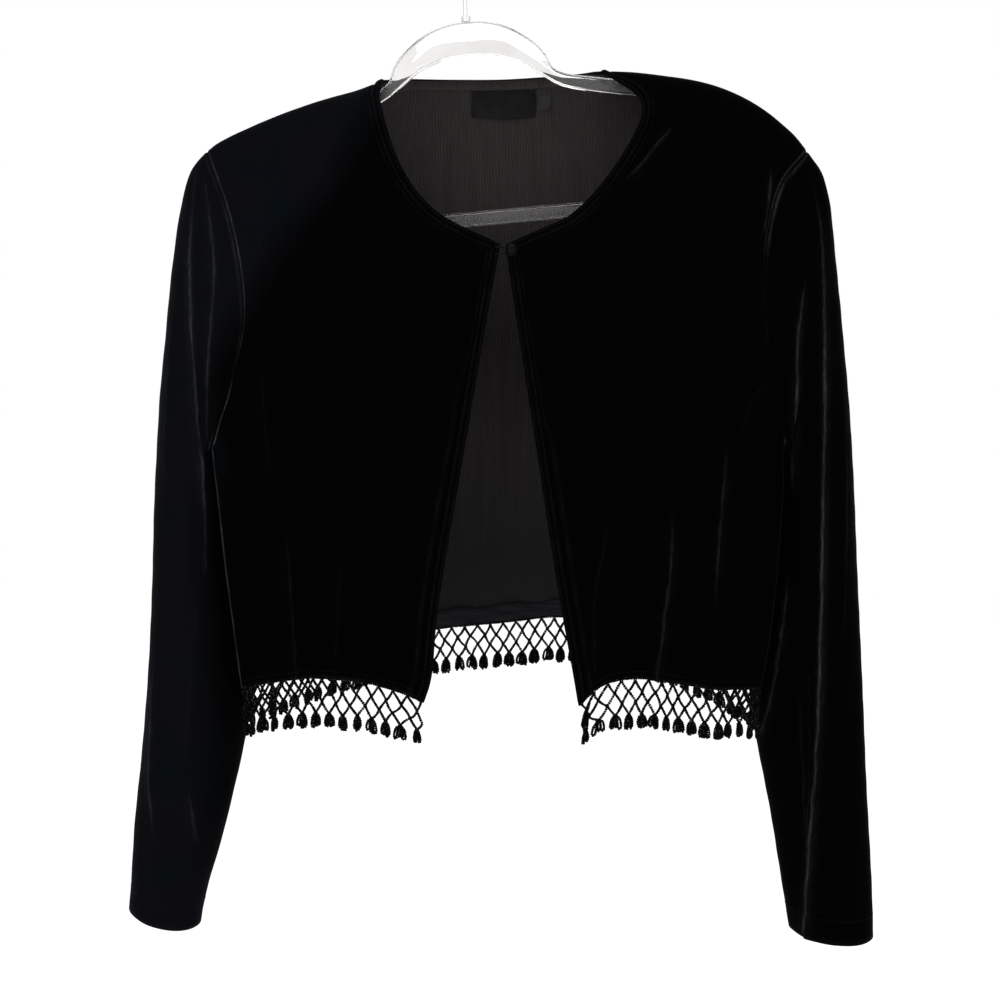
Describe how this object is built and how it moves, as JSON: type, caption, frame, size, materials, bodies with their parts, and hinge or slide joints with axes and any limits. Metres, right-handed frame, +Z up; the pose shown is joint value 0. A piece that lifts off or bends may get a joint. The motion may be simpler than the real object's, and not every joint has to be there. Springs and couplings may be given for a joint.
{
  "type": "bolero jacket on a clothes hanger",
  "caption": "Cropped black velvet bolero jacket with long sleeves, a ball button at the neck and a beaded net trim at its hem, on a clear clothes hanger.",
  "frame": {"origin": "inside of the hanger hook's crown, where a rail holds it", "axes": "+Z up, the fronts face -Y, the wearer's right sleeve hangs towards -X"},
  "size_m": [0.5685, 0.1293, 0.7623],
  "materials": {
    "velvet": "black pile velvet",
    "trim": "black cord and glass seed beads",
    "label": "black woven satin",
    "button": "polished black",
    "clear_plastic": "clear moulded plastic",
    "wire": "plated steel wire"
  },
  "bodies": {
    "root": {"back": "velvet", "front_right": "velvet", "front_left": "velvet", "sleeve_right": "velvet", "sleeve_left": "velvet", "band_right": "velvet", "band_left": "velvet", "band_back_neck": "velvet", "fringe_right": "trim", "fringe_left": "trim", "fringe_back": "trim", "button": "button", "button_loop": "trim", "label": "label", "size_tab": "label", "hanger_arms": "clear_plastic", "hanger_bar": "clear_plastic", "hanger_hook": "wire"}
  },
  "joints": []
}
